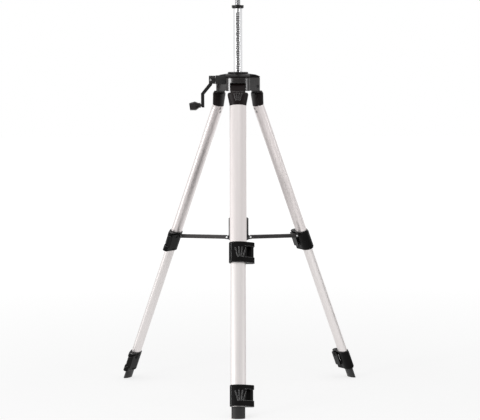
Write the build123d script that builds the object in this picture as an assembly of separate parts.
from build123d import *
import math
import os

# Elevating tripod for a laser level: three folding legs in three sections with lever
# locks, a mid spreader on a free hub, and a column raised by a crank, pinion and rack.
# Millimetres, +Z up. It is modelled about the column's axis, with the floor at Z 0: the
# front leg points along -Y, the right one towards azimuth 30 degrees, the left one 150.

os.makedirs("parts", exist_ok=True)

# ---- Driving dimensions ------------------------------------------------------------

# Leg, measured along its own axis from the floor up
leg_tilt = 21.4  # degrees from vertical, at the open stop
hinge_radius = 27.0  # leg pivot from the column's axis
foot_drop = 19.0  # foot showing below the lower lock
lower_lock_height = 35.0
middle_show = 203.0  # middle tube between the two locks
upper_lock_height = 35.0
upper_show = 238.2  # upper tube between the upper lock and the knuckle
knuckle_rise = 34.4  # top of the upper tube to the leg pivot

# Oval leg tubes: width across the leg, depth towards the column
upper_width, upper_depth = 28.0, 15.5
upper_wall = 1.2
middle_wall = 1.1
foot_wall = 1.1
tube_gap = 0.3  # all round, between one tube and the next
middle_overlap = 24.0  # middle tube above the top of the upper lock
foot_tube_rise = 281.6  # foot tube from the top of its foot
tube_seat = 5.0  # ledge below each tube's end inside its lock
foot_spigot = 16.0

# Locks and levers
lock_wall_side = 1.3
lock_wall_face = 1.7
lug_reach = 7.4  # lever pin beyond the side of the lock's sleeve
lug_inset = 3.2  # lever pin from the tube's centre plane towards the column
lug_radius = 4.4
top_lug = 7.0
bottom_lug = 9.5
lug_gap = 0.35  # lug to lever, at each end
lever_pin_radius = 1.8
lever_barrel = 2.9
paddle_thickness = 2.8
paddle_clear = 0.4  # paddle to the sleeve
paddle_end = 5.0  # the paddle's free edge from the leg's middle plane
paddle_top_margin = 2.5  # paddle from the lock's top
paddle_bottom_margin = 7.5  # and from its bottom
paddle_corner = 4.0
thumb_radius = 5.5
thumb_out = 3.2  # centre of the thumb dimple outside the paddle
thumb_up = 2.0  # and above the lever's barrel
lever_pin_setback = 0.5
rib_height = 1.1
rib_width = 1.5
rib_count = 4
rib_fan = 11.0  # degrees from one grip rib to the next
rib_pivot = 1.4  # the fan's pivot below the ribs' middle, in rib lengths
lock_rib_length = 16.5
lock_rib_shift = 4.0  # from the tube's middle towards the lever
bead_place = 12.2  # a lock's upright bead, from the tube's middle
bead_width = 2.2
bead_height = 0.9
bead_margin = 2.2  # from the lock's top and bottom
knuckle_rib_length = 12.5
knuckle_rib_level = 15.6  # above the upper tube

# Running fits and pins
running = 0.06  # radial clearance of pins and shafts that turn
leg_pin_radius = 2.5

# Knuckle
ear_width = 25.4
ear_side_gap = 0.5
ear_radius = 5.8
knuckle_width = 35.4
knuckle_depth = 14.6
shoulder_drop = 12.6  # knuckle's shoulder below the leg pivot
knuckle_lean = 5.0  # the shoulder's shift away from the column
shoulder_round = 3.5
neck_inner = 2.9  # neck's faces from the leg's centre plane, away from the column
neck_outer = 9.4
neck_step = 10.0  # below the leg pivot, where the neck steps out
plug_length = 15.0

# Canopy (the crown that carries the legs) and its cap
canopy_below_hinge = 7.0
canopy_height = 29.1
cap_height = 6.7
lobe_width = 41.0
lobe_reach = 37.5
lobe_corner = 8.0
lobe_bulge = 40.0  # radius of a lobe's curved end
cap_edge = 4.4  # steps of the cap's rounded rim, inwards
cap_overhang = 1.0  # the rim's foot beyond the lobes' ends
cap_groove = 0.7  # shadow line under the cap, deep and high
slot_back_gap = 1.9  # behind the knuckle's ear
slot_top_gap = 0.8  # over the ear
collar_radius = 17.5
collar_rise = 2.6
spigot_radius = 11.0
spigot_depth = 3.2

# Column, rack, top plate and stud
column_radius = 7.5
column_wall = 1.2
column_length = 270.0
column_show = 110.3  # column above the cap's collar
column_bore_gap = 0.4
bush_gap = 0.05
plate_radius = 10.2
plate_height = 5.5
plate_chamfer = 1.4
stud_radius = 4.76  # 3/8 inch
stud_height = 12.0
stud_chamfer = 0.6
stud_sink = 1.2  # the stud's seat in the plate
stud_seat_gap = 0.1  # radial, around the thread
stud_undercut = 0.7  # radial, where the thread runs out in its seat
shank_radius = 2.9  # the stud's shank in the plate
shank_length = 10.5
plate_spigot = 6.0
stop_radius = 8.1
stop_height = 6.0
stop_plug = 7.0
stop_chamfer = 1.0
sleeve_wall = 1.8
sleeve_drop = 16.0  # guide sleeve below the canopy
sleeve_seat = 5.0
bush_wall = 1.2
bush_lip = 2.5  # below the sleeve
bush_grip = 6.0  # up its outside

# Rack and pinion
gear_module = 1.0
pinion_teeth = 10
pressure_angle = 20.0
rack_addendum = 0.55
rack_dedendum = 1.2
rack_width = 5.7
rack_inset = 0.1  # rack teeth inside the column's round
backlash = 0.12
rack_top_margin = 6.5
rack_bottom_margin = 8.0
pinion_width = 5.0
gear_room = 0.8  # around the pinion
flank_steps = 6

# Crank
crank_drop = 10.3  # crank shaft below the cap's top
shaft_radius = 3.0
boss_radius = 7.5
boss_start = 13.5  # from the column's axis
boss_reach = 0.5  # end of the boss beyond the lobes
bush_radius = 5.0
bush_length = 12.0
shaft_tail = 13.0  # shaft beyond the column's axis
shaft_setback = 2.0  # shaft's end inside the crank's hub
crank_hub_length = 11.0
crank_hub_radius = 7.0
crank_side_gap = 0.4
arm_width = 8.0
arm_thickness = 5.6
arm_offset = 13.6  # dog-leg of the arm, away from the column
arm_bend_top = 6.0  # below the crank shaft
arm_bend_bottom = 25.0
arm_top = 2.0  # above the crank shaft
arm_chamfer = 2.0
crank_throw = 43.0
knob_tilt = 8.0
knob_length = 19.6
knob_radius = 7.6
knob_neck = 4.2
knob_end_radius = 6.2
knob_facets = 8
knob_gap = 0.6
knob_neck_length = 3.0
knob_pin_radius = 2.0
pin_head_radius = 3.2
pin_head_height = 1.4
pin_head_gap = 0.3
knob_recess = 4.0  # the pin's head from the knob's end
set_screw_radius = 1.6
set_screw_setback = 3.0  # from the crank hub's end

# Spreader
strut_pivot_drop = 4.7  # below the top of the upper lock
strut_pivot_inset = 13.4  # from the tube's centre line towards the column
strut_rise = 3.3  # outer pivot to hub pivot
hub_pivot_radius = 20.5
strut_height = 6.4
strut_width = 6.4
strut_wall = 1.0
strut_setback = 3.0  # strut's inner end short of the hub pivot
strut_web_clear = 7.0  # web cut back at the outer pivot
strut_side_gap = 0.35
tongue_width = 3.4
tongue_radius = 3.0
strut_pin_radius = 1.5
hub_radius = 17.2
hub_bore_gap = 0.9
hub_height = 38.0
hub_below_pivot = 3.6
hub_slot_rise = 16.5
hub_ear_thickness = 1.8
hub_ear_reach = 2.7
rivet_radius = 1.7
rivet_height = 0.7
hub_chamfer = 1.2

# ---- Derived places ------------------------------------------------------------------

lower_lock = foot_drop  # along the leg: bottom of the lower lock
lower_lock_top = lower_lock + lower_lock_height
upper_lock = lower_lock_top + middle_show
upper_lock_top = upper_lock + upper_lock_height
tube_top = upper_lock_top + upper_show
hinge = tube_top + knuckle_rise

tilt = math.radians(leg_tilt)
hinge_z = hinge * math.cos(tilt)
foot_radius = hinge_radius + hinge * math.sin(tilt)

canopy_bottom = hinge_z - canopy_below_hinge
canopy_top = canopy_bottom + canopy_height
cap_bottom = canopy_top - cap_height
collar_top = canopy_top + collar_rise
column_top = canopy_top + column_show
column_bottom = column_top - column_length
plate_top = column_top + plate_height

middle_width = upper_width - 2 * (upper_wall + tube_gap)
middle_depth = upper_depth - 2 * (upper_wall + tube_gap)
foot_width = middle_width - 2 * (middle_wall + tube_gap)
foot_depth = middle_depth - 2 * (middle_wall + tube_gap)

pitch_radius = gear_module * pinion_teeth / 2
rack_tip = math.sqrt((column_radius - rack_inset) ** 2 - (rack_width / 2) ** 2)
rack_pitch = rack_tip - rack_addendum
crank_y = -(rack_pitch + pitch_radius)
crank_z = canopy_top - crank_drop
boss_end = lobe_reach + boss_reach
hub_start = boss_end + crank_side_gap
hub_end = hub_start + crank_hub_length

strut_pivot = upper_lock_top - strut_pivot_drop
outer_y = (
    foot_radius - strut_pivot_inset * math.cos(tilt) - strut_pivot * math.sin(tilt)
)
outer_z = strut_pivot * math.cos(tilt) - strut_pivot_inset * math.sin(tilt)
hub_pivot_z = outer_z + strut_rise
strut_run = outer_y - hub_pivot_radius
strut_length = math.hypot(strut_run, strut_rise)
strut_slope = math.degrees(math.atan2(strut_rise, strut_run))

LEGS = {"front": 0, "right": 120, "left": 240}


# ---- Helpers -------------------------------------------------------------------------


def oval(width, depth):
    return Ellipse(width / 2, depth / 2)


def bar(sketch, low, high):
    """A prism on a sketch, from one height to another."""
    return extrude(Pos(0, 0, low) * sketch, high - low)


def tube(width, depth, wall, low, high):
    inner = oval(width - 2 * wall, depth - 2 * wall)
    return bar(oval(width, depth) - inner, low, high)


def rod_x(radius, start, end, y=0, z=0):
    """A round bar along X."""
    rod = Cylinder(radius, end - start, align=(Align.CENTER, Align.CENTER, Align.MIN))
    return Pos(start, y, z) * Rot(0, 90, 0) * rod


def rod_z(radius, low, high, x=0, y=0):
    rod = Cylinder(radius, high - low, align=(Align.CENTER, Align.CENTER, Align.MIN))
    return Pos(x, y, low) * rod


def block(low, high):
    """A box between two corners."""
    size = [b - a for a, b in zip(low, high)]
    return Pos(*low) * Box(*size, align=(Align.MIN, Align.MIN, Align.MIN))


def in_leg(shape, turn):
    """From a leg's own frame (X across, Y towards the column, Z up the leg) to its place."""
    return (
        Rot(0, 0, turn) * Pos(0, -foot_radius, 0) * Rot(-leg_tilt, 0, 0) * shape
    )


def around(shape):
    """The three places of a shape on the front leg's azimuth."""
    return [Rot(0, 0, turn) * shape for turn in LEGS.values()]


def joined(shapes):
    whole = shapes[0]
    for shape in shapes[1:]:
        whole += shape
    return whole


def save(name, shape, place):
    """One STEP file for a node, a single solid or a group of separate ones."""
    solids = (place * shape).solids()
    node = solids[0] if len(solids) == 1 else Compound(children=list(solids))
    export_step(node, f"parts/{name}.step")


def grip_ribs(half, deep, centre_z, length, shift=0):
    """A fan of raised ribs on an oval's outer face, closer together at the bottom."""
    ribs = []
    for i in range(rib_count):
        lean = (i - (rib_count - 1) / 2) * rib_fan
        rib = Box(rib_width, deep + rib_height, length, align=(Align.CENTER, Align.MAX, Align.MIN))
        pivot = Pos(shift, 0, centre_z - length * rib_pivot) * Rot(0, lean, 0)
        ribs.append(pivot * Pos(0, -deep * 0.4, length * (rib_pivot - 0.5)) * rib)
    skin = bar(
        Ellipse(half + rib_height, deep + rib_height), centre_z - length, centre_z + length
    )
    return [rib & skin for rib in ribs]


# ---- Leg pieces, in the leg's own frame ------------------------------------------------


def knuckle():
    plug = bar(
        oval(upper_width - 2 * upper_wall, upper_depth - 2 * upper_wall),
        tube_top - plug_length,
        tube_top,
    )
    shoulder = hinge - shoulder_drop
    sections = [Pos(0, 0, tube_top) * oval(upper_width, upper_depth)]
    for drop, inset in ((1.0, 0.0), (0.4, 0.35), (0.1, 0.8), (0.0, 1.4)):
        place = Pos(0, -knuckle_lean, shoulder - shoulder_round * drop)
        narrow = shoulder_round * inset
        sections.append(place * oval(knuckle_width - narrow, knuckle_depth - narrow))
    body = loft(sections, ruled=True)
    step = neck_outer - ear_radius
    neck = Polyline(
        (-neck_inner, shoulder - 1),
        (-neck_inner, hinge),
        (-ear_radius, hinge),
        (-ear_radius, hinge - neck_step),
        (-neck_outer, hinge - neck_step - step * 0.45),
        (-neck_outer, shoulder - 1),
        close=True,
    )
    half = ear_width / 2
    ear = extrude(Plane.YZ * make_face(neck), half, both=True)
    ear += rod_x(ear_radius, -half, half, z=hinge)
    shape = plug + body + ear
    shape -= rod_x(leg_pin_radius + running, -half, half, z=hinge)
    # The face leans outwards, and the ribs lie along it.
    run = knuckle_lean + (knuckle_depth - upper_depth) / 2
    slope = math.atan2(run, hinge - shoulder_drop - shoulder_round - tube_top)
    deep = upper_depth / 2 * math.cos(slope)
    place = Pos(0, 0, tube_top) * Rot(math.degrees(slope), 0, 0)
    ribs = grip_ribs(knuckle_width, deep, knuckle_rib_level, knuckle_rib_length)
    return joined([shape] + [place * rib for rib in ribs])


def lock_sizes(width, depth):
    """Sleeve half sizes and the lever pin's place for a lock on a tube of this size."""
    half = width / 2 + lock_wall_side
    deep = depth / 2 + lock_wall_face
    return half, deep, half + lug_reach


def lock_collar(width, depth, inner_width, inner_depth, bottom, height):
    half, deep, pin_x = lock_sizes(width, depth)
    top = bottom + height
    sleeve = bar(Ellipse(half, deep), bottom, top)
    rims = sleeve.edges().filter_by(GeomType.ELLIPSE)
    sleeve = chamfer(rims, lock_wall_side * 0.5)
    lean = math.radians(60)
    web = Polygon(
        (half * math.cos(lean), -deep * math.sin(lean)),
        (pin_x + lug_radius * 0.5, lug_inset - lug_radius * math.sin(lean)),
        (pin_x, lug_inset + lug_radius),
        (half * math.cos(lean), deep * math.sin(lean)),
        align=None,
    )
    lug = web + Pos(pin_x, lug_inset) * Circle(lug_radius)
    lugs = bar(lug, bottom, bottom + bottom_lug) + bar(lug, top - top_lug, top)
    pin_hole = rod_z(lever_pin_radius, bottom - 1, top + 1, pin_x, lug_inset)
    shape = sleeve + lugs
    ribs = grip_ribs(half, deep, bottom + height * 0.5, lock_rib_length, lock_rib_shift)
    bead = block(
        (-bead_place - bead_width / 2, -deep * 2, bottom + bead_margin),
        (-bead_place + bead_width / 2, 0, top - bead_margin),
    )
    bead = bead & bar(Ellipse(half + bead_height, deep + bead_height), bottom, top)
    shape = joined([shape, bead] + ribs)
    shape -= bar(oval(width, depth), bottom + tube_seat, top + 1)
    shape -= bar(
        oval(inner_width + 2 * tube_gap, inner_depth + 2 * tube_gap), bottom - 1, top
    )
    return shape - pin_hole


def strut_tongue():
    """The lug on the upper lock that the strut straddles, with its pin hole."""
    back = upper_depth / 2 + lock_wall_face * 0.5
    half = tongue_width / 2
    flat = block(
        (-half, back, strut_pivot - tongue_radius),
        (half, strut_pivot_inset, strut_pivot + tongue_radius),
    )
    flat += rod_x(tongue_radius, -half, half, strut_pivot_inset, strut_pivot)
    return flat - rod_x(strut_pin_radius, -half, half, strut_pivot_inset, strut_pivot)


def lever(width, depth, bottom, height):
    """Barrel on the pin between the lugs, neck, and a paddle along the inner side."""
    half, deep, pin_x = lock_sizes(width, depth)
    top = bottom + height
    low, high = bottom + bottom_lug + lug_gap, top - top_lug - lug_gap
    near = lug_inset + lug_radius + paddle_clear
    far = deep + paddle_clear
    neck = Polygon(
        (pin_x - lever_barrel * 0.7, lug_inset),
        (pin_x + lever_barrel * 0.7, lug_inset),
        (pin_x + lever_barrel * 0.7, near + paddle_thickness * 0.5),
        (pin_x - lever_barrel * 0.7, near + paddle_thickness * 0.5),
        align=None,
    )
    hub = neck + Pos(pin_x, lug_inset) * Circle(lever_barrel)
    plate = Polygon(
        (pin_x + lever_barrel * 0.7, near),
        (pin_x + lever_barrel * 0.4, near + paddle_thickness * 0.8),
        (paddle_end, far + paddle_thickness),
        (paddle_end, far),
        (half * 0.75, max(near, far)),
        align=None,
    )
    paddle = bar(plate, bottom + paddle_bottom_margin, top - paddle_top_margin)
    ends = paddle.edges().filter_by(Axis.Y).sort_by(Axis.X)[:2]
    paddle = chamfer(ends, paddle_corner)
    shape = bar(hub, low, high) + paddle
    shape -= rod_z(lever_pin_radius + running, low - 1, high + 1, pin_x, lug_inset)
    dimple = Pos((pin_x + paddle_end) / 2, far + paddle_thickness + thumb_out, high + thumb_up)
    return shape - dimple * Sphere(thumb_radius)


def lever_pin(width, depth, bottom, height):
    pin_x = lock_sizes(width, depth)[2]
    low, high = bottom + lever_pin_setback, bottom + height - lever_pin_setback
    return rod_z(lever_pin_radius, low, high, pin_x, lug_inset)


def strut_pin():
    half = strut_width / 2 + rivet_height
    return rod_x(strut_pin_radius, -half, half, strut_pivot_inset, strut_pivot)


def foot():
    """Rubber tip with a spigot into the foot tube, cut level with the floor."""
    top = foot_drop - tube_gap * 2
    tip = bar(oval(foot_width, foot_depth), -foot_depth, top)
    spigot = bar(
        oval(foot_width - 2 * foot_wall, foot_depth - 2 * foot_wall),
        top - 1,
        top + foot_spigot,
    )
    far = 2 * foot_width
    below = Rot(leg_tilt, 0, 0) * block((-far, -far, -far), (far, far, 0))
    return tip + spigot - below


def strut():
    """Channel open at the bottom, from the leg's pivot (origin) inwards along Y."""
    end = strut_length - strut_setback
    half_h = strut_height / 2
    half_w = strut_width / 2
    side = block((-half_w, 0, -half_h), (half_w, end, half_h))
    side = chamfer(side.edges().filter_by(Axis.X).sort_by(Axis.Y)[-2:], half_h * 0.45)
    shape = side + rod_x(half_h, -half_w, half_w)
    inner = half_w - strut_wall
    shape -= block((-inner, strut_web_clear, -half_h), (inner, end, half_h - strut_wall))
    shape -= block((-inner, -half_h, -half_h), (inner, strut_web_clear, half_h))
    return shape - rod_x(strut_pin_radius + running, -half_w, half_w)


# ---- Head ------------------------------------------------------------------------------


def lobes(reach, width, low, high):
    """Three rounded lobes around the column, one for each leg."""
    plan = Pos(0, -reach / 2) * Rectangle(width, reach)
    plan = plan & Pos(0, lobe_bulge - reach) * Circle(lobe_bulge)
    corners = plan.vertices().sort_by(Axis.Y)[:2]
    plan = fillet(corners, lobe_corner)
    return joined(around(bar(plan, low, high)))


def crank_boss(radius, start, end):
    return rod_x(radius, -end, -start, crank_y, crank_z)


def gear_chamber():
    half = pinion_width / 2 + gear_room
    radius = pitch_radius + gear_module + gear_room
    return rod_x(radius, -half, half, crank_y, crank_z)


def column_passage(gap):
    return rod_z(column_radius + gap, 0, plate_top)


def canopy():
    groove = cap_bottom - cap_groove
    shape = lobes(lobe_reach, lobe_width, canopy_bottom, groove)
    neck = lobe_width - 2 * cap_groove
    shape += lobes(lobe_reach - cap_groove, neck, groove - 1, cap_bottom)
    shape += crank_boss(boss_radius, boss_start, boss_end)
    half = ear_width / 2 + ear_side_gap
    slot = block(
        (-half, -lobe_reach * 2, canopy_bottom - 1),
        (half, -hinge_radius + ear_radius + slot_back_gap, hinge_z + ear_radius + slot_top_gap),
    )
    reach = lobe_width / 2 + 1
    pin_hole = rod_x(leg_pin_radius, -reach, reach, -hinge_radius, hinge_z)
    for cut in around(slot) + around(pin_hole):
        shape -= cut
    shape -= crank_boss(bush_radius, boss_end - bush_length, boss_end + 1)
    shape -= crank_boss(shaft_radius + running, -shaft_tail - 1, boss_end)
    shape -= gear_chamber()
    shape -= column_passage(column_bore_gap)
    seat = column_radius + column_bore_gap + sleeve_wall
    return shape - rod_z(seat, canopy_bottom - 1, canopy_bottom + sleeve_seat)


def canopy_cap():
    corner = lobe_reach + cap_overhang
    dome = Polyline(
        (0, cap_bottom),
        (corner, cap_bottom),
        (corner - cap_edge * 0.2, canopy_top - cap_height * 0.75),
        (corner - cap_edge, canopy_top - cap_height * 0.5),
        (corner - cap_edge * 2, canopy_top - cap_height * 0.27),
        (collar_radius, canopy_top),
        (0, canopy_top),
        close=True,
    )
    dome = revolve(Plane.XZ * make_face(dome), Axis.Z)
    shape = lobes(lobe_reach, lobe_width, cap_bottom, canopy_top)
    shape = shape & dome
    shape -= crank_boss(boss_radius, 0, boss_end + 5)
    shape -= gear_chamber()
    shape -= rod_z(spigot_radius, canopy_top - spigot_depth, canopy_top + 1)
    return shape - column_passage(column_bore_gap)


def column_collar():
    flange = rod_z(collar_radius, canopy_top, collar_top)
    top = flange.edges().filter_by(GeomType.CIRCLE).sort_by(Axis.Z)[-1:]
    flange = fillet(top, collar_rise * 0.5)
    shape = flange + rod_z(spigot_radius, canopy_top - spigot_depth, canopy_top)
    return shape - column_passage(bush_gap)


def guide_sleeve():
    inner = column_radius + column_bore_gap
    low, high = canopy_bottom - sleeve_drop, canopy_bottom + sleeve_seat
    return rod_z(inner + sleeve_wall, low, high) - rod_z(inner, low - 1, high + 1)


def sleeve_bush():
    """Plastic ring pressed over the sleeve's lower end, running on the column."""
    low = canopy_bottom - sleeve_drop
    outer = column_radius + column_bore_gap + sleeve_wall
    shape = rod_z(outer + bush_wall, low - bush_lip, low + bush_grip)
    shape -= rod_z(outer, low, low + bush_grip + 1)
    return shape - column_passage(bush_gap)


def crank_bush():
    shape = crank_boss(bush_radius, boss_end - bush_length, boss_end)
    return shape - crank_boss(shaft_radius + running, 0, boss_end + 1)


def leg_pins():
    reach = lobe_width / 2 - 1.0
    return around(rod_x(leg_pin_radius, -reach, reach, -hinge_radius, hinge_z))


# ---- Column ----------------------------------------------------------------------------


def rack_profile(low, high):
    """Side outline of the rack: Y from the pitch line (teeth towards -Y), Z up."""
    pitch = math.pi * gear_module
    slope = math.tan(math.radians(pressure_angle))
    half = pitch / 4 - backlash / 2
    tip, root = rack_pitch + rack_addendum, rack_pitch - rack_dedendum
    first = math.ceil((low - crank_z) / pitch + 0.5)
    last = math.floor((high - crank_z) / pitch - 0.5)
    points = [(-root, low)]
    for i in range(first, last):
        middle = crank_z + (i + 0.5) * pitch
        wide, thin = half + rack_dedendum * slope, half - rack_addendum * slope
        points.append((-root, middle - wide))
        points.append((-tip, middle - thin))
        points.append((-tip, middle + thin))
        points.append((-root, middle + wide))
    points.append((-root, high))
    back = column_radius - column_wall - 4.0
    return points + [(-back, high), (-back, low)]


def column_rack():
    low, high = column_bottom + rack_bottom_margin, column_top - rack_top_margin
    outline = Polyline(*rack_profile(low, high), close=True)
    face = Plane.YZ * make_face(outline)
    return extrude(face, rack_width / 2, both=True)


def column_tube():
    shape = rod_z(column_radius, column_bottom, column_top)
    shape -= rod_z(column_radius - column_wall, column_bottom - 1, column_top + 1)
    half = rack_width / 2
    low, high = column_bottom + rack_bottom_margin, column_top - rack_top_margin
    return shape - block((-half, -2 * column_radius, low), (half, 0, high))


def top_plate():
    plate = rod_z(plate_radius, column_top, plate_top)
    bottom = plate.edges().filter_by(GeomType.CIRCLE).sort_by(Axis.Z)[:1]
    plate = chamfer(bottom, plate_chamfer)
    low = column_top - plate_spigot
    spigot = rod_z(column_radius - column_wall, low, column_top)
    seat = rod_z(stud_radius + stud_seat_gap, plate_top - stud_sink, plate_top + 1)
    return plate + spigot - seat - rod_z(shank_radius, low - 1, plate_top)


def mounting_stud():
    """A threaded stud whose undercut stands in a seat of the plate."""
    shape = rod_z(stud_radius, plate_top, plate_top + stud_height)
    top = shape.edges().filter_by(GeomType.CIRCLE).sort_by(Axis.Z)[-1:]
    shape = chamfer(top, stud_chamfer)
    shape += rod_z(stud_radius - stud_undercut, plate_top - stud_sink, plate_top)
    return shape + rod_z(shank_radius, plate_top - shank_length, plate_top)


def column_stop():
    """Plug and flange at the foot of the column, which stop it under the sleeve."""
    flange = rod_z(stop_radius, column_bottom - stop_height, column_bottom)
    plug = rod_z(column_radius - column_wall, column_bottom, column_bottom + stop_plug)
    bottom = flange.edges().filter_by(GeomType.CIRCLE).sort_by(Axis.Z)[:1]
    return chamfer(bottom, stop_chamfer) + plug


# ---- Crank -----------------------------------------------------------------------------


def pinion_profile():
    """Involute teeth about the origin, the first one pointing along +X."""
    base = pitch_radius * math.cos(math.radians(pressure_angle))
    outer = pitch_radius + gear_module * 0.9
    root = pitch_radius - gear_module * 0.95
    angle = math.radians(pressure_angle)
    half = math.pi / (2 * pinion_teeth) - backlash / (2 * pitch_radius)
    at_base = half + math.tan(angle) - angle
    flank = []
    for i in range(flank_steps + 1):
        radius = base + (outer - base) * i / flank_steps
        roll = math.acos(base / radius)
        flank.append((radius, at_base - (math.tan(roll) - roll)))
    points = []
    for tooth in range(pinion_teeth):
        centre = 2 * math.pi * tooth / pinion_teeth
        side = [(root, at_base)] + flank
        for radius, half_angle in side:
            points.append((radius, centre - half_angle))
        for radius, half_angle in reversed(side):
            points.append((radius, centre + half_angle))
    return [(r * math.cos(a), r * math.sin(a)) for r, a in points]


def pinion():
    outline = make_face(Polyline(*pinion_profile(), close=True))
    outline -= Circle(shaft_radius)
    gear = extrude(Plane.YZ * outline, pinion_width / 2, both=True)
    return Pos(0, crank_y, crank_z) * gear


def crank_shaft():
    return rod_x(shaft_radius, -hub_end + shaft_setback, shaft_tail, crank_y, crank_z)


def crank_arm():
    """Hub on the shaft and a dog-leg arm hanging from it, its outer end chamfered."""
    hub = rod_x(crank_hub_radius, -hub_end, -hub_start, crank_y, crank_z)
    inner = hub_end - arm_thickness
    top, bottom = crank_z + arm_top, crank_z - crank_throw - arm_width / 2
    outline = [
        (-hub_end, top),
        (-hub_end, crank_z - arm_bend_top),
        (-hub_end - arm_offset, crank_z - arm_bend_bottom + arm_chamfer),
        (-hub_end - arm_offset, bottom + arm_chamfer),
        (-hub_end - arm_offset + arm_chamfer, bottom),
        (-inner - arm_offset, bottom),
        (-inner - arm_offset, crank_z - arm_bend_bottom),
        (-inner, crank_z - arm_bend_top - arm_thickness / 2),
        (-inner, top),
    ]
    face = Plane.XZ * make_face(Polyline(*outline, close=True))
    arm = Pos(0, crank_y, 0) * extrude(face, arm_width / 2, both=True)
    shape = hub + arm
    shape -= rod_x(shaft_radius, -hub_end + shaft_setback, -hub_start, crank_y, crank_z)
    hole = Cylinder(set_screw_radius, crank_hub_radius * 2)
    at_screw = Pos(-hub_end + set_screw_setback, crank_y - crank_hub_radius, crank_z)
    shape -= at_screw * Rot(90, 0, 0) * hole - crank_boss(shaft_radius, 0, hub_end)
    return shape - knob_frame() * rod_z(knob_pin_radius, -arm_thickness, knob_length)


def knob_frame():
    """Frame of the knob: origin on the arm's outer face, Z out along the knob's axis."""
    place = Pos(-hub_end - arm_offset, crank_y, crank_z - crank_throw)
    return place * Rot(0, -90 - knob_tilt, 0)


def knob_pin():
    seat = knob_length - knob_recess
    pin = rod_z(knob_pin_radius, -arm_thickness * 0.6, seat)
    head = rod_z(pin_head_radius, seat, seat + pin_head_height)
    return knob_frame() * (pin + head)


def crank_knob():
    """Faceted knob, widest in the middle, with a recess for the pin's head."""
    sections = [
        (knob_gap, knob_neck),
        (knob_gap + knob_neck_length, knob_neck),
        (knob_length * 0.5, knob_radius),
        (knob_length, knob_end_radius),
    ]
    rings = [
        Pos(0, 0, z) * RegularPolygon(radius, knob_facets) for z, radius in sections
    ]
    shape = loft(rings, ruled=True)
    shape -= rod_z(knob_pin_radius + running, -1, knob_length)
    floor = knob_length - knob_recess - pin_head_gap
    shape -= rod_z(pin_head_radius + pin_head_gap, floor, knob_length + 1)
    return knob_frame() * shape


def set_screw():
    length = crank_hub_radius - shaft_radius
    screw = Cylinder(set_screw_radius, length)
    place = Pos(-hub_end + set_screw_setback, crank_y - shaft_radius - length / 2, crank_z)
    screw = place * Rot(90, 0, 0) * screw
    return screw - crank_boss(shaft_radius, 0, hub_end)


# ---- Spreader hub ------------------------------------------------------------------------


def hub_body():
    low = hub_pivot_z - hub_below_pivot
    bore = stop_radius + hub_bore_gap
    ring = rod_z(hub_radius, low, low + hub_height)
    top = ring.edges().filter_by(GeomType.CIRCLE).sort_by(Axis.Z)[-1:]
    ring = chamfer(top, hub_chamfer)
    half = strut_width / 2 + strut_side_gap
    reach = hub_pivot_radius + hub_ear_reach
    ear = block(
        (-half - hub_ear_thickness, -reach, low),
        (half + hub_ear_thickness, 0, hub_pivot_z + hub_ear_reach),
    )
    slot = block((-half, -2 * reach, low - 1), (half, 0, hub_pivot_z + hub_slot_rise))
    shape = joined([ring] + around(ear))
    for cut in around(slot):
        shape -= cut
    return shape - rod_z(bore, low - 1, low + hub_height + 1)


def hub_rivets():
    """A rivet head on the outside of each of the hub's ears."""
    face = strut_width / 2 + strut_side_gap + hub_ear_thickness
    rivets = []
    for side in (-1, 1):
        low, high = sorted((side * face, side * (face + rivet_height)))
        rivets += around(rod_x(rivet_radius, low, high, -hub_pivot_radius, hub_pivot_z))
    return rivets


# ---- Build -------------------------------------------------------------------------------

upper = (upper_width, upper_depth)
middle = (middle_width, middle_depth)
lowest = (foot_width, foot_depth)
upper_place = (upper_lock, upper_lock_height)
lower_place = (lower_lock, lower_lock_height)
foot_top = foot_drop - 2 * tube_gap

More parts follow.
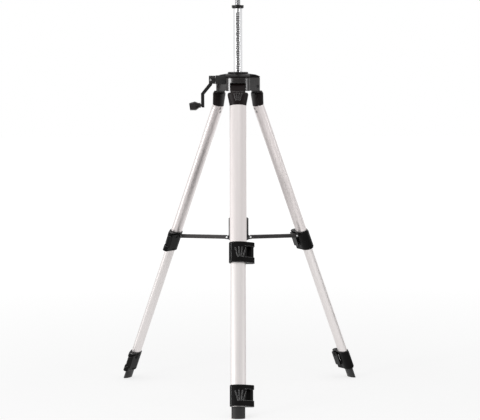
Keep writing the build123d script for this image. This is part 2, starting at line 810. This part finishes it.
pieces = {
    "canopy": canopy(),
    "canopy_cap": canopy_cap(),
    "column_collar": column_collar(),
    "guide_sleeve": guide_sleeve(),
    "sleeve_bush": sleeve_bush(),
    "crank_bush": crank_bush(),
    "leg_pivot_pins": Compound(children=leg_pins()),
    "column_tube": column_tube(),
    "column_rack": column_rack(),
    "top_plate": top_plate(),
    "mounting_stud": mounting_stud(),
    "column_stop": column_stop(),
    "crank_shaft": crank_shaft(),
    "pinion": pinion(),
    "crank_arm": crank_arm(),
    "crank_set_screw": set_screw(),
    "knob_pin": knob_pin(),
    "crank_knob": crank_knob(),
    "spreader_hub": hub_body(),
    "hub_rivets": Compound(children=hub_rivets()),
}

leg_pieces = {
    "knuckle": knuckle(),
    "upper_tube": tube(*upper, upper_wall, upper_lock + tube_seat, tube_top),
    "upper_lock": lock_collar(*upper, *middle, *upper_place) + strut_tongue(),
    "upper_lever": lever(*upper, *upper_place),
    "upper_lever_pin": lever_pin(*upper, *upper_place),
    "strut_pin": strut_pin(),
    "middle_tube": tube(
        *middle, middle_wall, lower_lock + tube_seat, upper_lock_top + middle_overlap
    ),
    "lower_lock": lock_collar(*middle, *lowest, *lower_place),
    "lower_lever": lever(*middle, *lower_place),
    "lower_lever_pin": lever_pin(*middle, *lower_place),
    "foot_tube": tube(*lowest, foot_wall, foot_top, foot_top + foot_tube_rise),
    "foot": foot(),
}
strut_place = Pos(0, -outer_y, outer_z) * Rot(strut_slope, 0, 0)
for side, turn in LEGS.items():
    for name, piece in leg_pieces.items():
        pieces[f"{side}_{name}"] = in_leg(piece, turn)
    pieces[f"{side}_strut"] = Rot(0, 0, turn) * strut_place * strut()

# The frame's origin is on the floor at the middle of the whole stand's box, front to
# back, and level with the column's axis from side to side.
boxes = [piece.bounding_box() for piece in pieces.values()]
column_y = -(min(b.min.Y for b in boxes) + max(b.max.Y for b in boxes)) / 2
side_x = (min(b.min.X for b in boxes) + max(b.max.X for b in boxes)) / 2
for name, piece in pieces.items():
    save(name, piece, Pos(0, column_y, 0))

print("column axis y", round(column_y, 4), "box middle x", round(side_x, 4))
print("hinge", round(hinge_radius, 4), round(hinge_z, 4), "feet at", round(foot_radius, 4))
print("strut pivots", round(outer_y, 4), round(outer_z, 4), round(hub_pivot_z, 4))
print("crank axis", round(crank_y, 4), round(crank_z, 4), "pinion", pitch_radius)
print("canopy", round(canopy_bottom, 4), round(canopy_top, 4), "plate", round(plate_top, 4))
print("column bottom", round(column_bottom, 4), "hub end", round(hub_end, 4))
